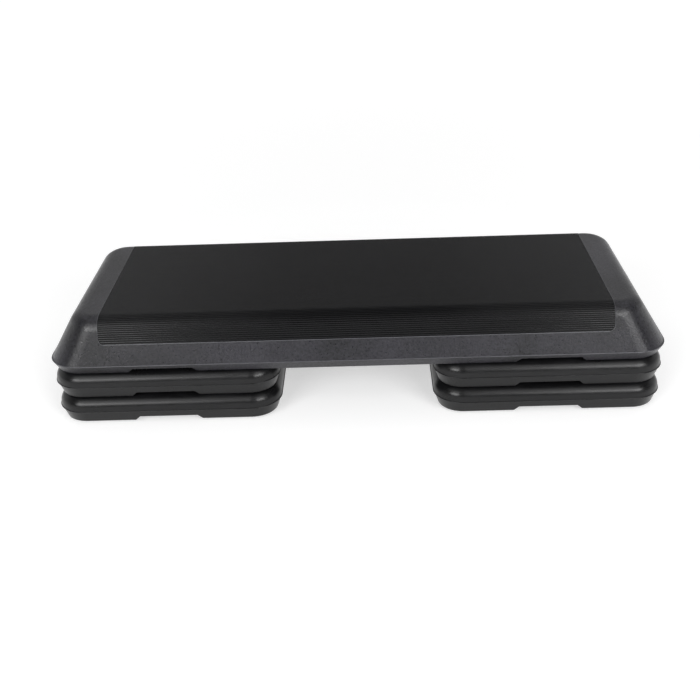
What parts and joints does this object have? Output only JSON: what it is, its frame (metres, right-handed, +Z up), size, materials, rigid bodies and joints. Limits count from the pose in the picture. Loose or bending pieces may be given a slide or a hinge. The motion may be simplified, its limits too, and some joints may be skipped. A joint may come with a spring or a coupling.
{
  "type": "aerobic step platform",
  "caption": "Low exercise step: a hollow grey deck with a black ribbed tread, standing on stacked square black risers that lift apart to change its height.",
  "frame": {"origin": "on the floor, under the middle of the deck", "axes": "+Z up, +X along the deck's length, the front faces -Y"},
  "size_m": [1.1, 0.412, 0.2032],
  "materials": {
    "deck_plastic": "fine-grained satin, dark grey",
    "riser_plastic": "smooth satin, black",
    "tread_rubber": "ribbed, satin black",
    "foot_rubber": "matte black"
  },
  "bodies": {
    "lower_left": {"lower_left_riser": "riser_plastic", "lower_left_riser_foot_back_left": "foot_rubber", "lower_left_riser_foot_back_right": "foot_rubber", "lower_left_riser_foot_front_left": "foot_rubber", "lower_left_riser_foot_front_right": "foot_rubber"},
    "upper_left": {"upper_left_riser": "riser_plastic", "upper_left_riser_foot_back_left": "foot_rubber", "upper_left_riser_foot_back_right": "foot_rubber", "upper_left_riser_foot_front_left": "foot_rubber", "upper_left_riser_foot_front_right": "foot_rubber"},
    "lower_right": {"lower_right_riser": "riser_plastic", "lower_right_riser_foot_back_left": "foot_rubber", "lower_right_riser_foot_back_right": "foot_rubber", "lower_right_riser_foot_front_left": "foot_rubber", "lower_right_riser_foot_front_right": "foot_rubber"},
    "upper_right": {"upper_right_riser": "riser_plastic", "upper_right_riser_foot_back_left": "foot_rubber", "upper_right_riser_foot_back_right": "foot_rubber", "upper_right_riser_foot_front_left": "foot_rubber", "upper_right_riser_foot_front_right": "foot_rubber"},
    "deck": {"deck_shell": "deck_plastic", "tread_mat": "tread_rubber", "deck_foot_left_inner_back": "foot_rubber", "deck_foot_left_inner_front": "foot_rubber", "deck_foot_left_outer_back": "foot_rubber", "deck_foot_left_outer_front": "foot_rubber", "deck_foot_right_inner_back": "foot_rubber", "deck_foot_right_inner_front": "foot_rubber", "deck_foot_right_outer_back": "foot_rubber", "deck_foot_right_outer_front": "foot_rubber"}
  },
  "joints": [
    {"name": "lower_left_lift", "type": "slide", "parent": "lower_left", "child": "upper_left", "axis": [0, 0, 1], "range_m": [0, 0.12]},
    {"name": "deck_lift", "type": "slide", "parent": "upper_left", "child": "deck", "axis": [0, 0, 1], "range_m": [0, 0.12]},
    {"name": "upper_right_lift", "type": "slide", "parent": "deck", "child": "upper_right", "axis": [0, 0, -1], "range_m": [0, 0.12]},
    {"name": "lower_right_lift", "type": "slide", "parent": "upper_right", "child": "lower_right", "axis": [0, 0, -1], "range_m": [0, 0.12]}
  ],
  "couplings": [
    {"joint": "upper_right_lift", "follows": "deck_lift", "ratio": 1},
    {"joint": "lower_right_lift", "follows": "lower_left_lift", "ratio": 1}
  ]
}
